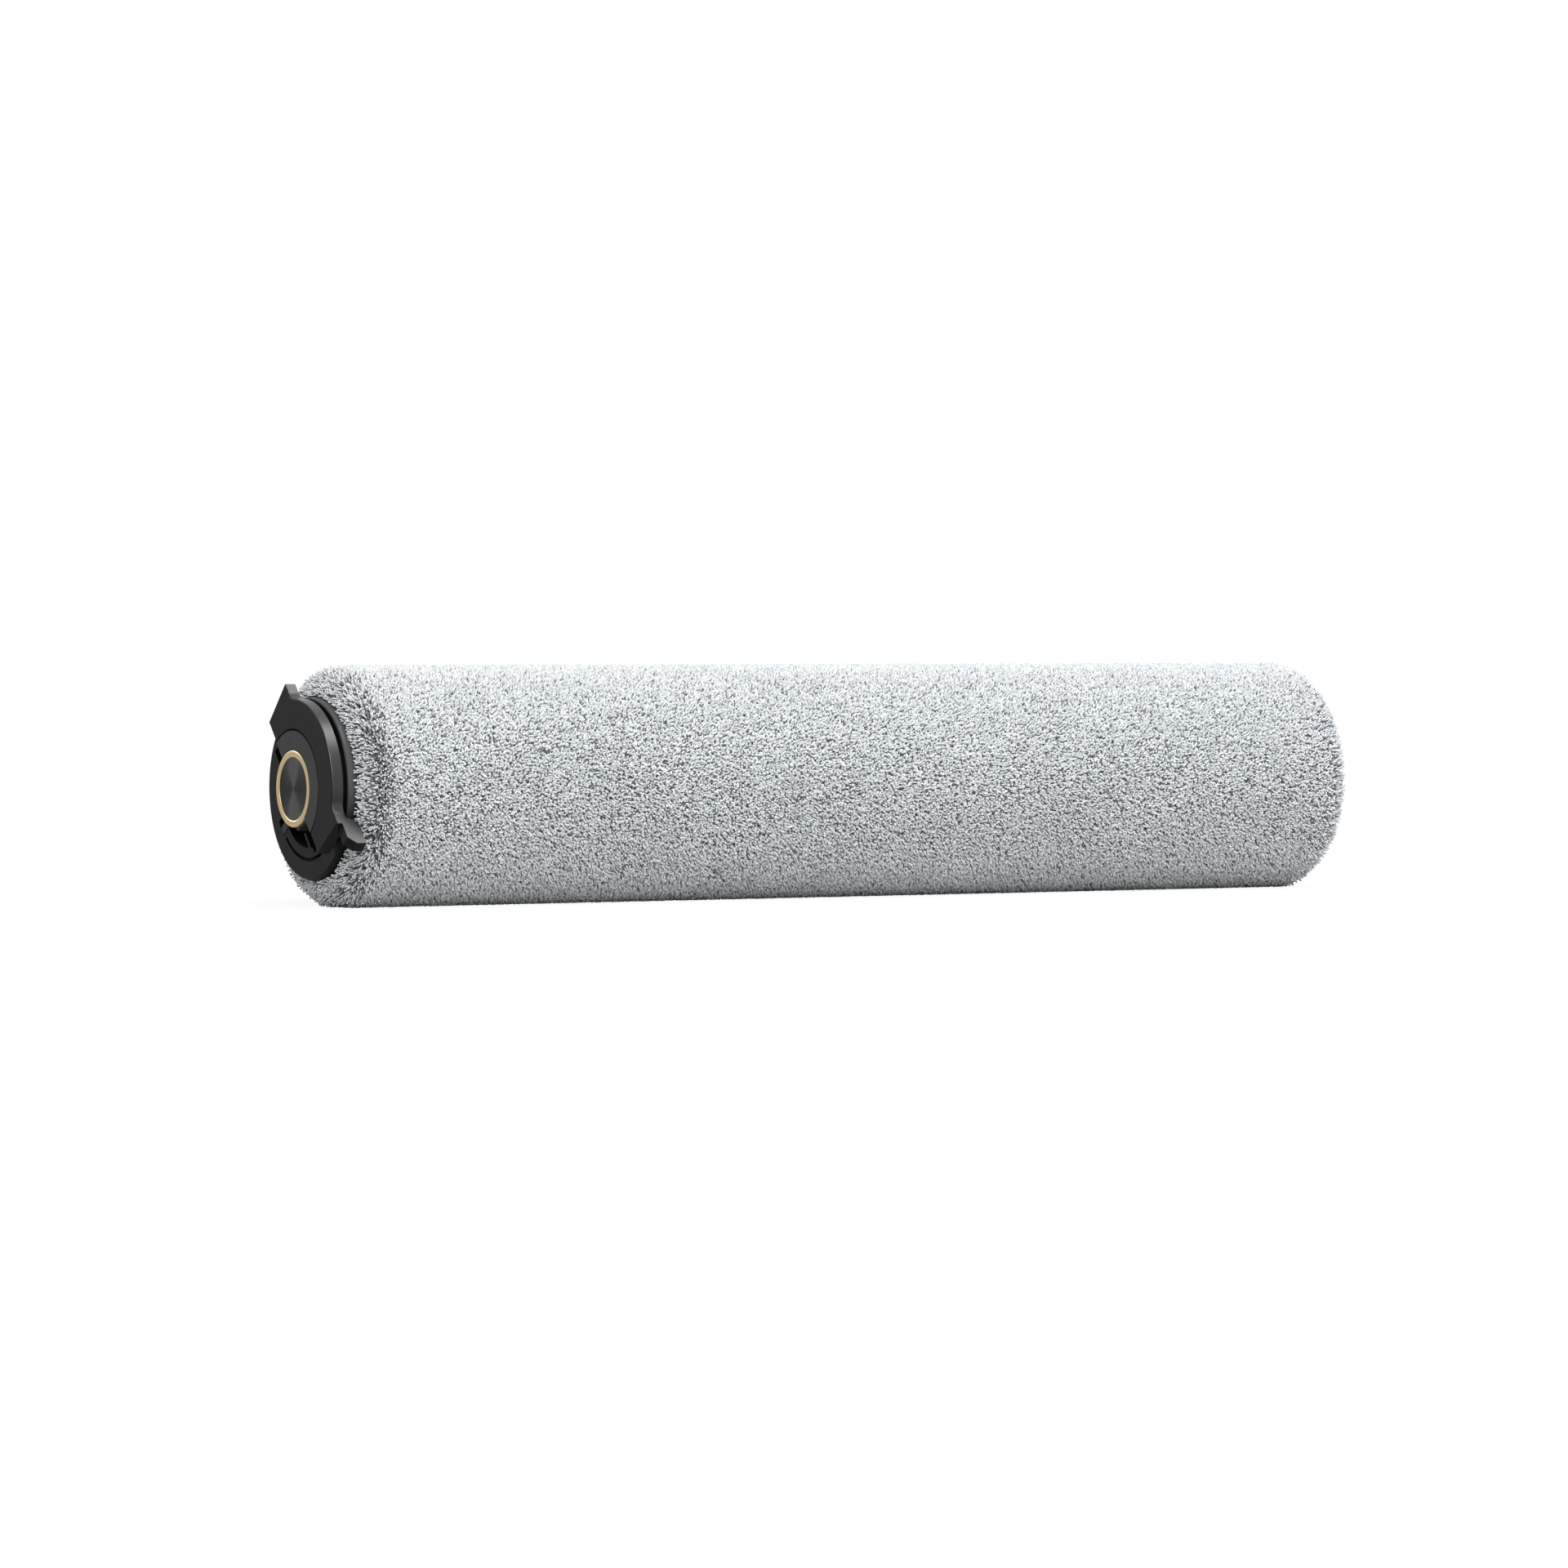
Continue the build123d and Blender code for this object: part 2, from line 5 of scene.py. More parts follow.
import bpy
import numpy as np
from bpy.props import FloatProperty, FloatVectorProperty, PointerProperty
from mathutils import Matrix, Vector


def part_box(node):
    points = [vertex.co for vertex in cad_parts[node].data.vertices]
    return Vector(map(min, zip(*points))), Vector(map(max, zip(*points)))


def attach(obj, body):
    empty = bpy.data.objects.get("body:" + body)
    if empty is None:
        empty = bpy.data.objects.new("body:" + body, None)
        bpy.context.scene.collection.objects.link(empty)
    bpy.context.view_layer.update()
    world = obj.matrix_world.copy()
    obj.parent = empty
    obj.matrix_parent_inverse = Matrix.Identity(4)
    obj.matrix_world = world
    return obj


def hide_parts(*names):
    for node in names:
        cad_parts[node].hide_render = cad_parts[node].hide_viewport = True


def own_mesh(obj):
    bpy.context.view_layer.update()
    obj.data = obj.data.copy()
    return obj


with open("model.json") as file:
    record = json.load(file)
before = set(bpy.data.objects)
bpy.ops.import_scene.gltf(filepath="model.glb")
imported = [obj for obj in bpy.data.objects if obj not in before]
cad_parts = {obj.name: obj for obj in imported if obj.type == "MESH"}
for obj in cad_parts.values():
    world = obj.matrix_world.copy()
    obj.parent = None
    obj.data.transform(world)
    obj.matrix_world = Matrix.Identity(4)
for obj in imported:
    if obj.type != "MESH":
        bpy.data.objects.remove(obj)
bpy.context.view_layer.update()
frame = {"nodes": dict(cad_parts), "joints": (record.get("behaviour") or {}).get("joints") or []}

bl_info = {
    "name": "Mop Roller Looks",
    "version": (1, 0, 0),
    "blender": (4, 5, 0),
    "location": "View3D > Sidebar > Roller",
    "description": "Dresses a mop roller with its pile, finishes its end cap and lights it",
    "category": "Object",
}

MM = 0.001
SEED = 20
TAU = 2 * math.pi
JOINTS = {joint["name"]: joint for joint in frame["joints"]}
AXIS_HEIGHT = JOINTS["roller_spin"]["pos_m"][2]
PILE_LOW, PILE_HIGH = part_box("pile_sleeve")
PILE_RADIUS = PILE_HIGH.z - AXIS_HEIGHT
BASE_LOW, BASE_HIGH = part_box("cap_base")
BASE_RADIUS = (BASE_HIGH.y - BASE_LOW.y) / 2
PLUG_LOW, PLUG_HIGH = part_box("drive_plug")
PLUG_RADIUS = (PLUG_HIGH.y - PLUG_LOW.y) / 2
PILE_END_ROUND = 8 * MM
MOUTH_CLEARANCE = 0.4 * MM
FLOOR_CLEARANCE = 0.02 * MM
UNDERCOAT_LIFT = 0.1 * MM
CORE_CLEARANCE = 0.02 * MM
IMAGE_SIDE = 1920
SENSOR_MM = 36.0
CLIP_END = 50.0

# Past this turn from the radius towards the axis the pile lies behind the hook, and its tips stand out less.
HOOK_TURN = 0.9
HOOK_CLEARANCE = 0.02 * MM

# Random spread of the cut and the lean, as shares of their settings, and spans of the bristles' tints; the
# dark span of the deep bristles is painted shade.
CUT_SPREAD = 0.4
CUT_SPAN = (-1.0, 0.6)
LEAN_SPREAD = 0.5
DEEP_SHADE_TINT = (0.0, 0.2)
TIP_TINT = (0.6, 1.0)
SWIRL_LENGTH = 9 * MM
SWIRL_WAVES = 6

# How finely the round meshes are divided.
ROUND_STEPS = 96
UNDERCOAT_RINGS = 150
GROOVE_STEPS = 6

# Painted highlight: the base's colour is made paler on its outermost edge, where light falls on it.
BASE_EDGE = 0.25 * MM
BASE_EDGE_HIGHLIGHT_GAIN = 10.0
EDGE_BLUR = 0.05 * MM

# Finishes that the photograph's side doesn't show.
STEEL = (0.55, 0.55, 0.54)
SPRING_STEEL = (0.5, 0.5, 0.49)
PLUG_PLASTIC = (0.03, 0.03, 0.032)
SOCKET_PLASTIC = (0.07, 0.07, 0.075)
TUBE_PLASTIC = (0.6, 0.6, 0.6)
SEAL_RUBBER = (0.02, 0.02, 0.02)
STEEL_NODES = (
    "bearing_outer_race", "bearing_inner_race", "bearing_shields", "bearing_balls", "bearing_cage",
    "carrier_ring", "axle", "axle_ring", "spacer_washer", "stem_ring", "grip_screws")

# Place and side of each lamp, and the setting that holds its power.
LAMPS = {
    "top_lamp": ((0.43, -0.25, 0.94), 0.45, "top_power"),
    "key_lamp": ((-0.45, -1.2, 1.02), 1.2, "key_power"),
    "fill_lamp": ((-0.9, -1.3, 0.4), 1.0, "fill_power"),
    "side_lamp": ((1.6, 0.35, 0.6), 0.8, "side_power"),
    "rim_lamp": ((-0.83, 1.22, 0.68), 0.22, "rim_power"),
}
WHITE = (1.0, 1.0, 1.0, 1.0)
ROOM_COLOUR = (0.95, 0.97, 1.0, 1.0)
FLOOR_HALF = 6.0

# The floor's shadow fades to white between these distances from the origin.
SHADOW_FADE = (0.12, 0.3)


class PileSettings(bpy.types.PropertyGroup):
    """Sizes and colours of the cut pile."""

    spacing: FloatProperty(
        name="Spacing", description="Mean distance between neighbouring bristles",
        default=0.475 * MM, min=0.3 * MM, unit="LENGTH", precision=5)
    length: FloatProperty(
        name="Length", description="Length of a bristle on the straight of the roller",
        default=1.8 * MM, min=0.5 * MM, unit="LENGTH", precision=5)
    end_length: FloatProperty(
        name="Extra at the ends", description="How much longer the bristles are on the rounded ends",
        default=0.8 * MM, unit="LENGTH", precision=5)
    depth: FloatProperty(
        name="Undercoat depth", description="How far the dense undercoat lies below the tips",
        default=0.75 * MM, unit="LENGTH", precision=5)
    end_depth: FloatProperty(
        name="Extra depth at the ends", description="How much deeper the undercoat lies on the rounded ends",
        default=0.9 * MM, unit="LENGTH", precision=5)
    tip_width: FloatProperty(
        name="Tip width", description="Width of a bristle at its cut end",
        default=0.47 * MM, unit="LENGTH", precision=5)
    end_tip_width: FloatProperty(
        name="Tip width at the ends", description="Width of a bristle's cut end on the rounded ends",
        default=0.36 * MM, unit="LENGTH", precision=5)
    lean: FloatProperty(
        name="Lean", description="Random sideways reach of the tips",
        default=0.30 * MM, unit="LENGTH", precision=5)
    end_lean: FloatProperty(
        name="Extra lean at the ends", description="Further random reach of the tips on the rounded ends",
        default=0.8 * MM, unit="LENGTH", precision=5)
    sway: FloatProperty(
        name="Sway", description="Sideways reach that neighbouring bristles share",
        default=0.12 * MM, unit="LENGTH", precision=5)
    tuft_pitch: FloatProperty(
        name="Tuft pitch", description="Mean distance between tufts of bristles",
        default=1.7 * MM, unit="LENGTH", precision=5)
    tuft_pull: FloatProperty(
        name="Tuft pull", description="How far the tips gather towards the middle of their tuft",
        default=0.12, min=0, max=0.9, subtype="FACTOR")
    ragged: FloatProperty(
        name="Ragged", description="How unevenly the tips are cut",
        default=0.55 * MM, unit="LENGTH", precision=5)
    end_ragged: FloatProperty(
        name="Ragged ends", description="How much more uneven the tips are on the shoulders",
        default=0.55 * MM, unit="LENGTH", precision=5)
    # Deep bristles are also tinted dark: painted shade between the others.
    pits: FloatProperty(
        name="Pits", description="Share of bristles that lie deep and dark between the others",
        default=0.26, min=0, max=0.9, subtype="FACTOR")
    parting: FloatProperty(
        name="Parting", description="Further share of deep bristles on the shoulders, where the pile parts",
        default=0.18, min=0, max=0.9, subtype="FACTOR")
    pit_depth: FloatProperty(
        name="Pit depth", description="How much shorter a deep bristle is",
        default=0.6 * MM, unit="LENGTH", precision=5)
    splay: FloatProperty(
        name="Splay", description="How far the bristles of the rounded ends lean outward",
        default=math.radians(14), subtype="ANGLE")
    tip_colour: FloatVectorProperty(
        name="Tip colour", description="Colour of the cut ends", subtype="COLOR", size=3,
        default=(0.86, 0.885, 0.90), min=0, max=1)
    # Painted shade: the root colour darkens the pile deep down and between the bristles; the fibres
    # themselves are one colour.
    root_shade_colour: FloatVectorProperty(
        name="Root colour", description="Colour deep in the pile", subtype="COLOR", size=3,
        default=(0.15, 0.159, 0.167), min=0, max=1)


class CapSettings(bpy.types.PropertyGroup):
    """Colours of the end cap and its button."""

    plate_colour: FloatVectorProperty(
        name="Plate colour", description="Moulded grip plate", subtype="COLOR", size=3,
        default=(0.007, 0.007, 0.0073), min=0, max=1)
    base_colour: FloatVectorProperty(
        name="Base colour", description="Moulded base behind the plate", subtype="COLOR", size=3,
        default=(0.006, 0.006, 0.0063), min=0, max=1)
    button_colour: FloatVectorProperty(
        name="Button colour", description="Half disc of the press button", subtype="COLOR", size=3,
        default=(0.031, 0.031, 0.032), min=0, max=1)
    ring_colour: FloatVectorProperty(
        name="Ring colour", description="Brass-coloured trim ring", subtype="COLOR", size=3,
        default=(0.40, 0.305, 0.165), min=0, max=1)
    disc_colour: FloatVectorProperty(
        name="Disc colour", description="Dark turned metal", subtype="COLOR", size=3,
        default=(0.0145, 0.014, 0.0137), min=0, max=1)
    groove_pitch: FloatProperty(
        name="Groove pitch", description="Distance between the disc's turned grooves",
        default=0.25 * MM, unit="LENGTH", precision=5)
    groove_slope: FloatProperty(
        name="Groove slope", description="Steepest slope of the disc's grooves",
        default=math.radians(27), subtype="ANGLE")


class StageSettings(bpy.types.PropertyGroup):
    """Camera and lamps."""

    azimuth: FloatProperty(
        name="Azimuth", description="Camera's place round the roller, from straight in front",
        default=math.radians(-29.82), subtype="ANGLE")
    elevation: FloatProperty(
        name="Elevation", description="Camera's height as an angle",
        default=math.radians(1.29), subtype="ANGLE")
    distance: FloatProperty(
        name="Distance", description="From the camera to the point that it looks at",
        default=1.5318, unit="LENGTH")
    aim_along: FloatProperty(
        name="Aim along", description="Place on the axis that the camera looks at",
        default=-8.16 * MM, unit="LENGTH", precision=5)
    aim_below: FloatProperty(
        name="Aim below", description="How far under the axis the camera looks",
        default=0.34 * MM, unit="LENGTH", precision=5)
    focal_pixels: FloatProperty(
        name="Focal length", description="In pixels of the square picture", default=8000.0)
    top_power: FloatProperty(
        name="Top lamp", description="Soft lamp overhead", default=5.2, unit="POWER")
    key_power: FloatProperty(
        name="Key lamp", description="Soft lamp above the camera", default=27.0, unit="POWER")
    fill_power: FloatProperty(
        name="Fill lamp", description="Soft lamp beside the camera", default=2.0, unit="POWER")
    side_power: FloatProperty(
        name="Side lamp", description="Soft lamp beyond the drive end", default=6.0, unit="POWER")
    rim_power: FloatProperty(
        name="Rim lamp", description="Lamp behind the capped end, which lights the back",
        default=10.0, unit="POWER")
    world_light: FloatProperty(
        name="Room light", description="Even light from all round", default=0.18)
    floor_bounce: FloatProperty(
        name="Floor bounce", description="Share of the light that the floor throws back", default=0.75)
    floor_white: FloatProperty(
        name="Floor white", description="How far the floor's shadow is lifted to white", default=0.9)


class Wire:
    """An output socket that can be used in Python expressions."""

    def __init__(self, network, socket):
        self.network = network
        self.socket = socket

    def out(self, name):
        """Another output of the same node."""
        return Wire(self.network, self.socket.node.outputs[name])

    def maths(self, operation, *values):
        """A Math node on values or wires."""
        return self.network.node("ShaderNodeMath", {"operation": operation}, dict(enumerate(values)))

    def __add__(self, other):
        return self.maths("ADD", self, other)

    def __radd__(self, other):
        return self.maths("ADD", other, self)

    def __sub__(self, other):
        return self.maths("SUBTRACT", self, other)

    def __rsub__(self, other):
        return self.maths("SUBTRACT", other, self)

    def __mul__(self, other):
        return self.maths("MULTIPLY", self, other)

    def __rmul__(self, other):
        return self.maths("MULTIPLY", other, self)

    def __truediv__(self, other):
        return self.maths("DIVIDE", self, other)

    def __rtruediv__(self, other):
        return self.maths("DIVIDE", other, self)

    def __pow__(self, other):
        return self.maths("POWER", self, other)

    def __rpow__(self, other):
        return self.maths("POWER", other, self)

    def __or__(self, other):
        return self.maths("MAXIMUM", self, other)

    def __ror__(self, other):
        return self.maths("MAXIMUM", other, self)


class Network:
    """A node tree that grows from expressions."""

    def __init__(self, tree):
        self.tree = tree

    def node(self, kind, settings=None, inputs=None, output=0):
        """Adds a node, sets its settings first, then its sockets, and returns one of its outputs."""
        node = self.tree.nodes.new(kind)
        for name, value in (settings or {}).items():
            setattr(node, name, value)
        for name, value in (inputs or {}).items():
            self.feed(node.inputs[name], value)
        return Wire(self, node.outputs[output])

    def feed(self, socket, value):
        """Links a wire to a socket, or sets the socket to a value."""
        if isinstance(value, Wire):
            self.tree.links.new(value.socket, socket)
        else:
            socket.default_value = value

    def in_view(self):
        """1 where the viewer sees a surface, straight, mirrored or through glass, and 0 to other light."""
        path = self.node("ShaderNodeLightPath", output="Is Camera Ray")
        return path | path.out("Is Glossy Ray") | path.out("Is Transmission Ray")


class Finish(Network):
    """A material with one principled shader."""

    def __init__(self, name):
        self.material = bpy.data.materials.new(name)
        self.material.use_nodes = True
        super().__init__(self.material.node_tree)
        self.shader = self.tree.nodes["Principled BSDF"]

    def place(self):
        """Coordinates in metres that ride with the piece."""
        return self.node("ShaderNodeTexCoord", output="Object")

    def noise(self, place, scale, detail=2.0, roughness=0.5):
        """Noise over the piece; scale is in waves to the metre."""
        return self.node("ShaderNodeTexNoise", None,
                         {"Vector": place, "Scale": scale, "Detail": detail, "Roughness": roughness})

    def ramp(self, value, start, end, low=0.0, high=1.0, kind="LINEAR"):
        """Takes a value from the span start to end to the span low to high."""
        return self.node("ShaderNodeMapRange", {"clamp": True, "interpolation_type": kind},
                         {"Value": value, "From Min": start, "From Max": end, "To Min": low, "To Max": high})

    def spread(self, value, low=0.0, high=1.0):
        """Takes 0.5 plus or minus 0.2 of a noise to the span from low to high."""
        return self.ramp(value, 0.3, 0.7, low, high)

    def radius(self, place):
        """Distance from the roller's axis."""
        across = self.node("ShaderNodeSeparateXYZ", None, {"Vector": place}, output="Y")
        height = across.out("Z") - AXIS_HEIGHT
        return (across * across + height * height) ** 0.5

    def outward(self, axis):
        """One part of the direction that the surface faces."""
        facing = self.node("ShaderNodeTexCoord", output="Normal")
        return self.node("ShaderNodeSeparateXYZ", None, {"Vector": facing}, output=axis)

    def lit_side(self):
        """0 on walls that face down, 1 on all others."""
        return self.ramp(self.outward("Z"), -0.35, 0.05)

    def blend(self, factor, first, second):
        """Mix of two colours."""
        return self.node("ShaderNodeMix", {"data_type": "RGBA", "clamp_factor": True},
                         {"Factor": factor, 6: first, 7: second}, output=2)

    def bump(self, height, strength, distance):
        """Raises the surface by a height field; distance is in metres."""
        normal = self.node("ShaderNodeBump", None,
                           {"Height": height, "Strength": strength, "Distance": distance})
        self.set(Normal=normal)

    def set(self, **sockets):
        """Sets or links the shader's sockets, named with _ for spaces."""
        for name, value in sockets.items():
            self.feed(self.shader.inputs[name.replace("_", " ")], value)
        return self


def rgba(colour, gain=1.0):
    """A colour with full alpha, made paler or darker by a gain."""
    return tuple(min(1.0, c * gain) for c in colour) + (1.0,)


def pile_finish(settings):
    """Matt fibre with painted shade, darker towards the roots and on the deep bristles, pale at the cut
    ends, each bristle a little different.
    """
    finish = Finish("cut_microfibre")
    strand = finish.node("ShaderNodeAttribute", {"attribute_name": "strand"}, output="Color")
    along = finish.node("ShaderNodeSeparateColor", None, {"Color": strand}, output="Red")
    tint = along.out("Green")
    patch = finish.noise(finish.place(), scale=90.0, detail=3.0)
    # Painted shade: darker from the cut end down towards the root.
    pale = finish.ramp(along, 0.1, 0.6, kind="SMOOTHSTEP")
    light = (0.5 + 0.5 * pale) * tint * finish.spread(patch, low=0.93)
    colour = finish.blend(light, rgba(settings.root_shade_colour), rgba(settings.tip_colour))
    finish.set(Base_Color=colour, Roughness=0.88, Specular_IOR_Level=0.2,
               Sheen_Weight=0.1, Sheen_Roughness=0.6)
    return finish.material


def undercoat_finish(settings):
    """The dense lower part of the pile, seen only between bristles, with painted shade: dark gaps, more of
    them at the ends.
    """
    finish = Finish("pile_undercoat")
    place = finish.place()
    grain = finish.noise(place, scale=2000.0, roughness=0.6)
    along = finish.node("ShaderNodeSeparateXYZ", None, {"Vector": place}, output="X")
    from_middle = ((along - (PILE_LOW.x + PILE_HIGH.x) / 2) ** 2) ** 0.5
    half = (PILE_HIGH.x - PILE_LOW.x) / 2
    # Painted shade: dark gaps in a noise pattern, their share growing towards the ends.
    edge = finish.ramp(from_middle, half - 9 * MM, half - 5 * MM, low=0.48, high=0.54)
    painted_gap_shade = finish.ramp(grain, edge, edge + 0.08)
    finish.set(Base_Color=finish.blend(painted_gap_shade, rgba(settings.root_shade_colour, 0.4), rgba(settings.tip_colour)),
               Roughness=0.95, Specular_IOR_Level=0.1)
    finish.bump(grain, strength=0.8, distance=0.2 * MM)
    return finish.material


def plastic_finish(name, colour, roughness, shine=0.05, wall_gloss=0.0, rim_highlight=None):
    """Moulded plastic with a fine spark-eroded grain, faint handling marks and, if wanted, glossier walls.

    The optional pair gives the radius from which a painted highlight makes the piece paler, and the gain
    there.
    Walls that face down get neither the painted highlight nor the gloss.
    """
    finish = Finish(name)
    place = finish.place()
    grain = finish.noise(place, scale=2600.0, detail=3.0, roughness=0.6)
    cloud = finish.noise(place, scale=160.0, detail=3.0)
    marks = finish.noise(place, scale=900.0, detail=4.0, roughness=0.7)
    shade = finish.spread(cloud) * 0.5 + finish.spread(grain) * 0.5
    tone = finish.blend(shade, rgba(colour, 0.8), rgba(colour, 1.25))
    # Painted highlight: a paler colour past the radius, only on walls that don't face down.
    if rim_highlight:
        radius, gain = rim_highlight
        past = finish.ramp(finish.radius(place), radius - EDGE_BLUR, radius + EDGE_BLUR)
        tone = finish.blend(past * finish.lit_side(), tone, rgba(colour, gain))
    finish.set(Base_Color=tone,
               Roughness=roughness + (finish.spread(marks) - 0.5) * 0.12,
               Specular_IOR_Level=shine)
    if wall_gloss:
        along = finish.outward("X")
        wall = finish.ramp(along * along, 0.2, 0.6, low=wall_gloss, high=0.0)
        finish.set(Coat_Weight=wall * finish.lit_side(), Coat_Roughness=0.33)
    finish.bump(grain, strength=0.35, distance=0.03 * MM)
    return finish.material


def spun_finish(name, colour, roughness, pitch, groove):
    """Metal turned on a lathe: fine rings about the roller's axis, raised by the groove's depth."""
    finish = Finish(name)
    rings = finish.node("ShaderNodeTexNoise", {"noise_dimensions": "1D"},
                        {"W": finish.radius(finish.place()) / pitch, "Scale": 1.0, "Detail": 3.0,
                         "Roughness": 0.7})
    shade = finish.spread(rings)
    finish.set(Base_Color=finish.blend(shade, rgba(colour, 0.75), rgba(colour, 1.25)),
               Metallic=1.0, Roughness=roughness + 0.08 * (shade - 0.5))
    if groove:
        finish.bump(rings, strength=1.0, distance=groove)
    return finish.material


def steel_finish(name, colour, roughness):
    """Ground steel with fine scratches."""
    finish = Finish(name)
    place = finish.place()
    scratch = finish.noise(place, scale=3000.0)
    cloud = finish.noise(place, scale=300.0, detail=3.0)
    finish.set(Base_Color=finish.blend(finish.spread(cloud), rgba(colour, 0.85), rgba(colour, 1.1)),
               Metallic=1.0, Roughness=roughness + 0.1 * (finish.spread(scratch) - 0.5))
    finish.bump(scratch, strength=0.2, distance=0.01 * MM)
    return finish.material


def dress(node, material):
    """Gives a CAD node its finish."""
    mesh = frame["nodes"][node].data
    mesh.materials.clear()
    mesh.materials.append(material)


def add_piece(name, mesh, material, body, replaced=()):
    """Links a mesh as a piece that rides on a body."""
    piece = bpy.data.objects.new(name, mesh)
    bpy.context.scene.collection.objects.link(piece)
    mesh.materials.append(material)
    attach(piece, body)
    if replaced:
        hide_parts(*replaced)
    return piece


class PileProfile:
    """Outer line of the pile, from the mouth round the cap to the mouth round the drive plug."""

    def __init__(self):
        self.round = PILE_END_ROUND
        self.ring = PILE_RADIUS - PILE_END_ROUND
        self.start = PILE_LOW.x + PILE_END_ROUND
        cap_mouth = (BASE_RADIUS + MOUTH_CLEARANCE - self.ring) / PILE_END_ROUND
        self.cap_arc = math.acos(cap_mouth) * self.round
        self.straight = PILE_HIGH.x - PILE_END_ROUND - self.start
        self.drive_arc = math.pi / 2 * self.round
        self.drive_flat = self.ring - PLUG_RADIUS
        self.length = self.cap_arc + self.straight + self.drive_arc + self.drive_flat

    def at(self, along):
        """Place along the axis, radius, and how far the outward direction turns from radius to axis."""
        along = np.asarray(along, float) - self.cap_arc
        cap = np.clip(-along, 0, None) / self.round
        past = along - self.straight
        turn = np.clip(past, 0, self.drive_arc) / self.round - cap
        flat = np.clip(past - self.drive_arc, 0, None)
        x = self.start + np.clip(along, 0, self.straight) + self.round * np.sin(turn)
        r = self.ring + self.round * np.cos(turn) - flat
        return x, r, turn


def swirl(x, angle, seed):
    """Two smooth fields over the pile, between -1 and 1, that neighbouring bristles share."""
    rng = np.random.default_rng(seed)
    fields = []
    for _ in range(2):
        field = np.zeros_like(x)
        for octave in range(SWIRL_WAVES):
            waves = rng.uniform(0.5, 1.0) * 2 ** (octave * 0.5) / SWIRL_LENGTH
            turns = rng.integers(6, 14) * (octave + 1)
            field += np.sin(x * waves + turns * angle + rng.uniform(0, TAU)) / (1 + octave * 0.5)
        fields.append(field / 2.2)
    return fields


def tuft_middles(along, angle, pitch, seed):
    """Steps from each bristle to the middle of its tuft: length along the pile and angle round it."""
    rng = np.random.default_rng(seed)
    columns = int(TAU * PILE_RADIUS / pitch)
    across, around = along / pitch, angle / TAU * columns
    rows = int(across.max()) + 3
    middles = rng.uniform(0.1, 0.9, (rows, columns, 2))
    nearest = np.full(len(along), np.inf)
    step = np.zeros((len(along), 2))
    for row_step in (-1, 0, 1):
        for column_step in (-1, 0, 1):
            row = np.floor(across).astype(int) + row_step
            column = np.floor(around).astype(int) + column_step
            middle = middles[np.clip(row + 1, 0, rows - 1), column % columns]
            offset = np.stack([row, column], 1) + middle - np.stack([across, around], 1)
            distance = (offset ** 2).sum(1)
            closer = distance < nearest
            nearest[closer] = distance[closer]
            step[closer] = offset[closer]
    return step[:, 0] * pitch, step[:, 1] * TAU / columns


def to_world(x, r, angle):
    """Points from their place along the axis, their radius and their angle from the top."""
    return np.stack([x, -r * np.sin(angle), AXIS_HEIGHT + r * np.cos(angle)], -1)


def smooth_step(value, low, high):
    """0 up to low, 1 from high, and smooth between them."""
    share = np.clip((value - low) / (high - low), 0, 1)
    return share * share * (3 - 2 * share)


def end_share(turn):
    """0 on the straight of the roller, 1 on its rounded ends."""
    return smooth_step(np.abs(turn), 0.05, 0.6)


def shoulder_share(turn):
    """1 on the shoulders, where the pile parts, 0 on the straight and at the mouths."""
    return smooth_step(np.abs(turn), 0.0, 0.35) * (1 - smooth_step(np.abs(turn), 0.75, 1.3))


def bristle_seats(settings, profile, rng):
    """Places of the bristles in jittered rows round the pile: length along the profile and angle."""
    rows = int(profile.length / settings.spacing)
    alongs, angles = [], []
    for row in range(rows):
        along = (row + 0.5) * profile.length / rows
        count = int(TAU * profile.at(along)[1] / settings.spacing)
        jitter = rng.uniform(-0.5, 0.5, (2, count))
        alongs.append(along + jitter[0] * settings.spacing)
        angles.append((np.arange(count) + rng.uniform() + jitter[1]) * TAU / count)
    return np.clip(np.concatenate(alongs), 0, profile.length), np.concatenate(angles)


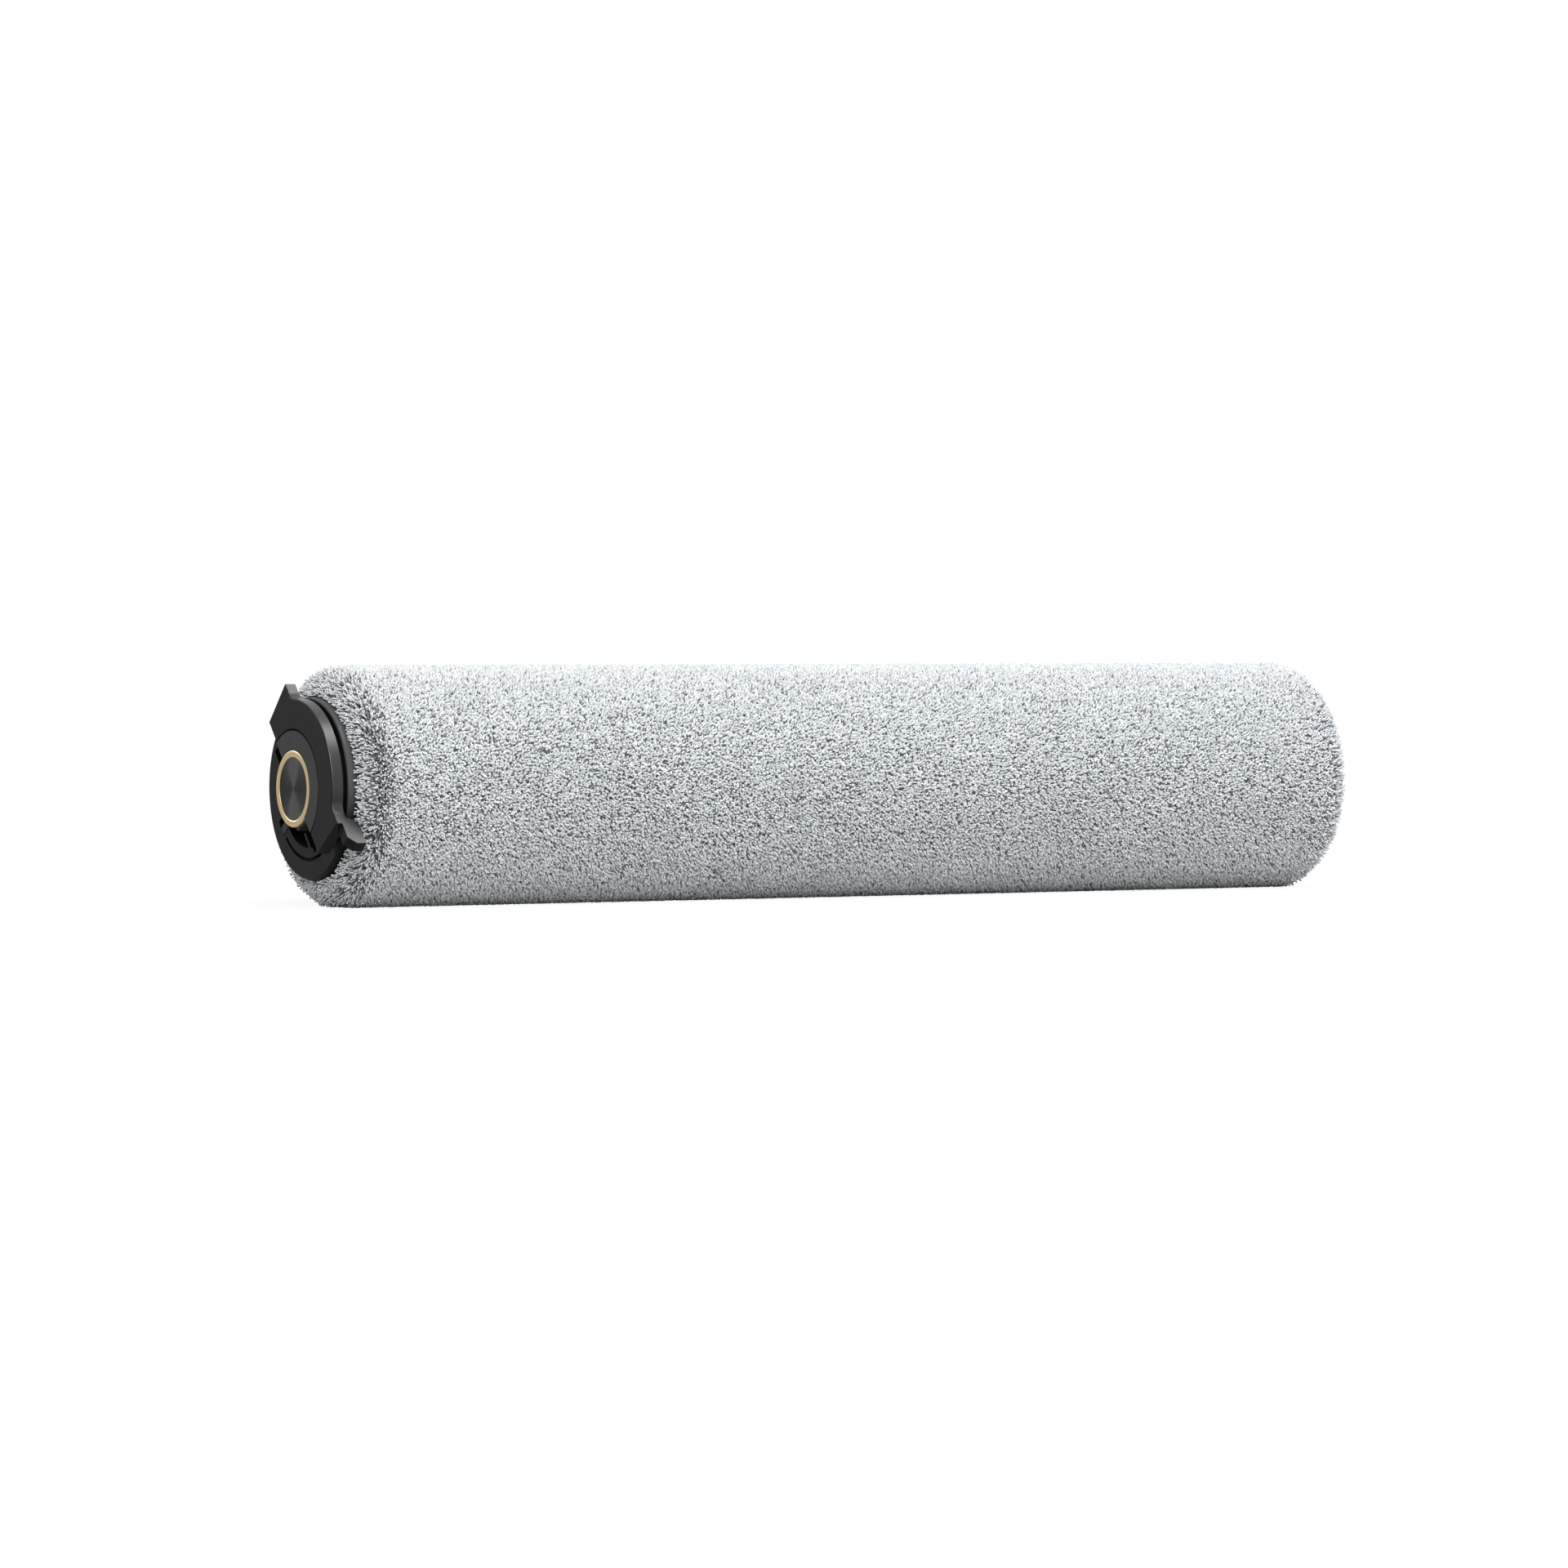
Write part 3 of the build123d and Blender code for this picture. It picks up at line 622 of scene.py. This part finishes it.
def bristles(settings):
    """Roots, tips, widths, tints and turns of all the bristles."""
    rng = np.random.default_rng(SEED)
    profile = PileProfile()
    along, angle = bristle_seats(settings, profile, rng)
    x, r, turn = profile.at(along)
    count = len(x)
    end = end_share(turn)
    tilt = turn + np.sign(turn) * settings.splay * smooth_step(np.abs(turn), 0.25, 0.9)
    length = settings.length + settings.end_length * end
    root_x, root_r = x - np.sin(tilt) * length, r - np.cos(tilt) * length
    root_r = np.where(turn < 0, np.maximum(root_r, BASE_RADIUS + MOUTH_CLEARANCE), root_r)
    loose = settings.end_ragged * shoulder_share(turn)
    deep = rng.uniform(0, 1, count) < settings.pits + settings.parting * shoulder_share(turn)
    # Deep bristles take the dark tint: painted shade where they lie low between the others.
    darkest, palest = np.where(deep[:, None], DEEP_SHADE_TINT, TIP_TINT).T
    tint = darkest + rng.uniform(0, 1, count) * (palest - darkest)
    cut = rng.normal(0, CUT_SPREAD, count).clip(*CUT_SPAN) * (settings.ragged + loose)
    cut -= deep * settings.pit_depth
    cut = np.where(turn < -HOOK_TURN, np.minimum(cut, HOOK_CLEARANCE), cut)
    sway_along, sway_round = swirl(x, angle, SEED + 1)
    pull_along, pull_round = tuft_middles(along, angle, settings.tuft_pitch, SEED + 2)
    lean = settings.lean + settings.end_lean * end
    lean_along = rng.normal(0, LEAN_SPREAD, count) * lean + sway_along * settings.sway
    lean_along += pull_along * settings.tuft_pull
    lean_round = rng.normal(0, LEAN_SPREAD, count) * lean + sway_round * settings.sway
    tip_x = x + np.sin(tilt) * cut + np.cos(turn) * lean_along
    tip_r = r + np.cos(tilt) * cut - np.sin(turn) * lean_along
    tip_r = np.where(turn < 0, np.maximum(tip_r, BASE_RADIUS + MOUTH_CLEARANCE), tip_r)
    tip_angle = angle + lean_round / r + pull_round * settings.tuft_pull
    roots, tips = to_world(root_x, root_r, angle), to_world(tip_x, tip_r, tip_angle)
    width = settings.tip_width + (settings.end_tip_width - settings.tip_width) * end
    return roots, tips, width, tint, rng.uniform(0, TAU, count)


def bristle_mesh(name, roots, tips, widths, tints, spins):
    """Closed bristles with a blunt three-cornered tip and a pointed root.

    The colour strand is 1 in red at the tip and 0 at the root, which sets the painted shade towards the
    root, and holds the tint in green.
    Each bristle has a cell of its own on the map.
    """
    count = len(roots)
    axis = tips - roots
    axis /= np.linalg.norm(axis, axis=1, keepdims=True)
    side = np.cross(axis, np.array([1.0, 0.3, 0.2]))
    side /= np.linalg.norm(side, axis=1, keepdims=True)
    over = np.cross(axis, side)

    corners = []
    for number in range(3):
        turn = spins + number * TAU / 3
        out = side * np.cos(turn)[:, None] + over * np.sin(turn)[:, None]
        corners.append(tips + out * widths[:, None] / math.sqrt(3))
    points = np.stack(corners + [roots], 1)
    points[:, :, 2] = np.maximum(points[:, :, 2], PILE_LOW.z + FLOOR_CLEARANCE)
    pattern = np.array([(0, 1, 2), (1, 0, 3), (2, 1, 3), (0, 2, 3)])
    faces = np.arange(count)[:, None, None] * points.shape[1] + pattern
    mesh = bpy.data.meshes.new(name)
    mesh.vertices.add(count * points.shape[1])
    mesh.vertices.foreach_set("co", points.ravel())
    mesh.loops.add(faces.size)
    mesh.loops.foreach_set("vertex_index", faces.ravel().astype(np.int32))
    mesh.polygons.add(faces.size // 3)
    mesh.polygons.foreach_set("loop_start", np.arange(0, faces.size, 3, dtype=np.int32))
    colour = np.ones(points.shape[:2] + (4,), np.float32)
    colour[:, 3:, 0] = 0.0
    colour[:, :, 1] = tints[:, None]
    strand = mesh.color_attributes.new("strand", "FLOAT_COLOR", "POINT")
    strand.data.foreach_set("color", colour.ravel())
    cells = math.ceil(math.sqrt(count))
    cell = np.stack([np.arange(count) % cells, np.arange(count) // cells], 1)
    seats = np.array([(number % 2, number // 2) for number in range(len(pattern))])
    shape = np.array([(0.06, 0.06), (0.9, 0.06), (0.06, 0.9)])
    flat = (seats[:, None, :] + shape) / 2
    layer = mesh.uv_layers.new(name="OFBake")
    layer.data.foreach_set("uv", ((cell[:, None, None, :] + flat) / cells).ravel().astype(np.float32))
    mesh.update(calc_edges=True)
    mesh.validate()
    return mesh


def undercoat_mesh(settings):
    """Dense lower part of the pile: a closed ring with rounded ends, flat where it rests."""
    around = ROUND_STEPS
    profile = PileProfile()
    x, r, turn = profile.at(np.linspace(0, profile.length, UNDERCOAT_RINGS))
    depth = settings.depth + settings.end_depth * end_share(turn)
    x, r = x - np.sin(turn) * depth, r - np.cos(turn) * depth
    core = PLUG_RADIUS + CORE_CLEARANCE
    x = np.concatenate([x, [x[-1], x[0]]])
    r = np.concatenate([r, [core, core]])
    angle = np.arange(around) * TAU / around
    points = to_world(np.repeat(x, around), np.repeat(r, around), np.tile(angle, len(x)))
    points[:, 2] = np.maximum(points[:, 2], PILE_LOW.z + UNDERCOAT_LIFT)
    rings = len(x)
    faces = []
    for i in range(rings):
        j = (i + 1) % rings
        for k in range(around):
            m = (k + 1) % around
            faces.append((i * around + k, i * around + m, j * around + m, j * around + k))
    mesh = bpy.data.meshes.new("pile_undercoat")
    mesh.from_pydata(points.tolist(), [], faces)
    mesh.polygons.foreach_set("use_smooth", np.ones(len(faces), bool))
    mesh.update()
    return mesh


class ROLLER_OT_pile(bpy.types.Operator):
    """Grow the cut pile over the drum"""

    bl_idname = "roller.pile"
    bl_label = "Pile"
    most_bristles = 48000

    def execute(self, context):
        settings = context.scene.roller_pile
        add_piece("pile_undercoat", undercoat_mesh(settings), undercoat_finish(settings), "drum",
                  ("pile_sleeve",))
        finish = pile_finish(settings)
        columns = bristles(settings)
        order = np.argsort(columns[1][:, 0], kind="stable")
        bands = int(math.ceil(len(order) / self.most_bristles))
        for number, band in enumerate(np.array_split(order, bands), 1):
            name = f"pile_band_{number}"
            mesh = bristle_mesh(name, *(column[band] for column in columns))
            add_piece(name, mesh, finish, "drum", ("pile_sleeve",))
        return {"FINISHED"}


def turned_disc_mesh(settings):
    """Disc with the fine round grooves that turning leaves on its face."""
    around = ROUND_STEPS
    low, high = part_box("spun_disc")
    radius = (high.y - low.y) / 2
    middle = (high.z + low.z) / 2
    grooves = round(radius / settings.groove_pitch)
    pitch = radius / grooves
    depth = math.tan(settings.groove_slope) * pitch / math.pi
    r = np.arange(1, grooves * GROOVE_STEPS + 1) * pitch / GROOVE_STEPS
    x = low.x + depth * (1 - np.cos(r / pitch * TAU)) / 2
    x, r = np.append(x, high.x), np.append(r, radius)
    angle = np.arange(around) * TAU / around
    rings = np.stack([np.repeat(x, around), np.outer(r, np.cos(angle)).ravel(),
                      middle + np.outer(r, np.sin(angle)).ravel()], 1)
    points = rings.tolist() + [(low.x, 0, middle), (high.x, 0, middle)]
    face_middle, back_middle = len(rings), len(rings) + 1
    last = (len(r) - 1) * around
    faces = []
    for k in range(around):
        m = (k + 1) % around
        faces.append((face_middle, m, k))
        for ring in range(0, last, around):
            faces.append((ring + k, ring + m, ring + around + m, ring + around + k))
        faces.append((back_middle, last + k, last + m))
    mesh = bpy.data.meshes.new("turned_disc")
    mesh.from_pydata(points, [], faces)
    mesh.polygons.foreach_set("use_smooth", np.ones(len(faces), bool))
    mesh.update()
    return mesh


class ROLLER_OT_cap(bpy.types.Operator):
    """Finish the end cap and its press button"""

    bl_idname = "roller.cap"
    bl_label = "End cap"

    def execute(self, context):
        settings = context.scene.roller_cap
        dress("grip_plate", plastic_finish(
            "grip_plastic", settings.plate_colour, roughness=0.55, wall_gloss=1.0))
        # The base gets a painted highlight on its outermost edge.
        dress("cap_base", plastic_finish(
            "base_plastic", settings.base_colour, roughness=0.55, wall_gloss=0.7,
            rim_highlight=(BASE_RADIUS - BASE_EDGE, BASE_EDGE_HIGHLIGHT_GAIN)))
        dress("press_plate", plastic_finish("button_plastic", settings.button_colour, roughness=0.5))
        dress("trim_ring", spun_finish(
            "satin_brass", settings.ring_colour, roughness=0.42, pitch=0.3 * MM, groove=0.01 * MM))
        gunmetal = spun_finish(
            "spun_gunmetal", settings.disc_colour, roughness=0.12, pitch=0.3 * MM, groove=0.0)
        add_piece("turned_disc", turned_disc_mesh(settings), gunmetal, "press_button",
                  ("spun_disc",))
        return {"FINISHED"}


class ROLLER_OT_spring(bpy.types.Operator):
    """Give the return spring a steel finish, as a piece of its own on the end cap"""

    bl_idname = "roller.spring"
    bl_label = "Return spring"

    def execute(self, context):
        mesh = frame["nodes"]["return_spring"].data.copy()
        mesh.name = "coil_spring"
        mesh.materials.clear()
        finish = steel_finish("spring_steel", SPRING_STEEL, roughness=0.28)
        spring = add_piece("coil_spring", mesh, finish, "end_cap", ("return_spring",))
        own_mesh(spring)
        return {"FINISHED"}


class ROLLER_OT_inside(bpy.types.Operator):
    """Finish the bearing, the plugs and the other inner pieces"""

    bl_idname = "roller.inside"
    bl_label = "Inner pieces"

    def execute(self, context):
        steel = steel_finish("ground_steel", STEEL, roughness=0.3)
        for node in STEEL_NODES:
            dress(node, steel)
        moulding = plastic_finish("plug_plastic", PLUG_PLASTIC, roughness=0.5)
        for node in ("bearing_carrier", "drive_plug"):
            dress(node, moulding)
        dress("drive_socket", plastic_finish("socket_plastic", SOCKET_PLASTIC, roughness=0.55))
        dress("core_tube", plastic_finish("tube_plastic", TUBE_PLASTIC, roughness=0.5))
        dress("shaft_seal", plastic_finish("seal_rubber", SEAL_RUBBER, roughness=0.75))
        return {"FINISHED"}


class ROLLER_OT_stage(bpy.types.Operator):
    """Set up the floor, the lamps and the camera"""

    bl_idname = "roller.stage"
    bl_label = "Stage"

    def execute(self, context):
        scene = context.scene
        settings = scene.roller_stage
        scene.view_settings.view_transform = "Standard"
        self.floor(settings)
        self.room(scene, settings)
        aim = (0.0, 0.0, AXIS_HEIGHT)
        for name, (place, size, power) in LAMPS.items():
            self.lamp(name, place, aim, size, getattr(settings, power))
        self.camera(scene, settings)
        return {"FINISHED"}

    def floor(self, settings):
        """Pale floor that looks white and keeps a soft shadow."""
        half = FLOOR_HALF
        corners = [(-half, -half, 0), (half, -half, 0), (half, half, 0), (-half, half, 0)]
        mesh = bpy.data.meshes.new("floor")
        mesh.from_pydata(corners, [], [(0, 1, 2, 3)])
        floor = bpy.data.objects.new("floor", mesh)
        bpy.context.scene.collection.objects.link(floor)
        finish = Finish("pale_floor")
        grain = finish.spread(finish.noise(finish.place(), scale=400.0))
        bounce = rgba((settings.floor_bounce,) * 3)
        finish.set(Base_Color=finish.blend(grain, rgba(bounce[:3], 0.97), bounce),
                   Roughness=0.9, Specular_IOR_Level=0.0)
        shader = Wire(finish, finish.shader.outputs["BSDF"])
        paper = finish.node("ShaderNodeBsdfDiffuse", None, {"Color": WHITE})
        white = finish.node("ShaderNodeEmission", None, {"Color": WHITE, "Strength": 1.0})
        away = finish.node("ShaderNodeVectorMath", {"operation": "LENGTH"}, {0: finish.place()},
                           output="Value")
        lift = finish.ramp(away, *SHADOW_FADE, low=settings.floor_white, kind="SMOOTHSTEP")
        pale = finish.node("ShaderNodeMixShader", None, {0: lift, 1: paper, 2: white})
        mix = finish.node("ShaderNodeMixShader", None, {0: finish.in_view(), 1: shader, 2: pale})
        finish.feed(finish.tree.nodes["Material Output"].inputs["Surface"], mix)
        mesh.materials.append(finish.material)

    def room(self, scene, settings):
        """Even light from all round, white where the viewer sees it."""
        world = bpy.data.worlds.new("studio")
        scene.world = world
        world.use_nodes = True
        network = Network(world.node_tree)
        light = network.node("ShaderNodeBackground", None,
                             {"Color": ROOM_COLOUR, "Strength": settings.world_light})
        white = network.node("ShaderNodeBackground", None, {"Color": WHITE, "Strength": 1.0})
        mix = network.node("ShaderNodeMixShader", None, {0: network.in_view(), 1: light, 2: white})
        network.feed(world.node_tree.nodes["World Output"].inputs["Surface"], mix)

    def lamp(self, name, place, aim, size, power):
        """Square soft lamp that points at the aim."""
        light = bpy.data.lights.new(name, "AREA")
        light.shape = "SQUARE"
        light.size = size
        light.energy = power
        lamp = bpy.data.objects.new(name, light)
        lamp.visible_camera = False
        lamp.location = place
        lamp.rotation_euler = (Vector(aim) - Vector(place)).to_track_quat("-Z", "Y").to_euler()
        bpy.context.scene.collection.objects.link(lamp)

    def camera(self, scene, settings):
        """Camera at the photograph's angle."""
        data = bpy.data.cameras.new("camera")
        data.sensor_width = SENSOR_MM
        data.lens = settings.focal_pixels * SENSOR_MM / IMAGE_SIDE
        data.clip_end = CLIP_END
        camera = bpy.data.objects.new("camera", data)
        flat = math.cos(settings.elevation)
        back = Vector((math.sin(settings.azimuth) * flat, -math.cos(settings.azimuth) * flat,
                       math.sin(settings.elevation)))
        aim = Vector((settings.aim_along, 0, AXIS_HEIGHT - settings.aim_below))
        camera.location = aim + back * settings.distance
        camera.rotation_euler = (-back).to_track_quat("-Z", "Y").to_euler()
        scene.collection.objects.link(camera)
        scene.camera = camera


class ROLLER_PT_panel(bpy.types.Panel):
    """Lists the roller's settings and the steps that build it"""

    bl_idname = "ROLLER_PT_panel"
    bl_label = "Mop roller"
    bl_space_type = "VIEW_3D"
    bl_region_type = "UI"
    bl_category = "Roller"

    def draw(self, context):
        for group in (context.scene.roller_pile, context.scene.roller_cap, context.scene.roller_stage):
            box = self.layout.box()
            for name in group.__annotations__:
                box.prop(group, name)
        for step in STEPS:
            self.layout.operator(step.bl_idname)


STEPS = (ROLLER_OT_pile, ROLLER_OT_cap, ROLLER_OT_spring, ROLLER_OT_inside, ROLLER_OT_stage)
GROUPS = {"roller_pile": PileSettings, "roller_cap": CapSettings, "roller_stage": StageSettings}


def register():
    for group in GROUPS.values():
        bpy.utils.register_class(group)
    for name, group in GROUPS.items():
        setattr(bpy.types.Scene, name, PointerProperty(type=group))
    for cls in (*STEPS, ROLLER_PT_panel):
        bpy.utils.register_class(cls)


def unregister():
    for cls in reversed((*STEPS, ROLLER_PT_panel)):
        bpy.utils.unregister_class(cls)
    for name in GROUPS:
        delattr(bpy.types.Scene, name)
    for group in reversed(GROUPS.values()):
        bpy.utils.unregister_class(group)


def main():
    """Builds the looks step by step."""
    register()
    bpy.ops.roller.pile()
    bpy.ops.roller.cap()
    bpy.ops.roller.spring()
    bpy.ops.roller.inside()
    bpy.ops.roller.stage()


if __name__ == "__main__":
    main()
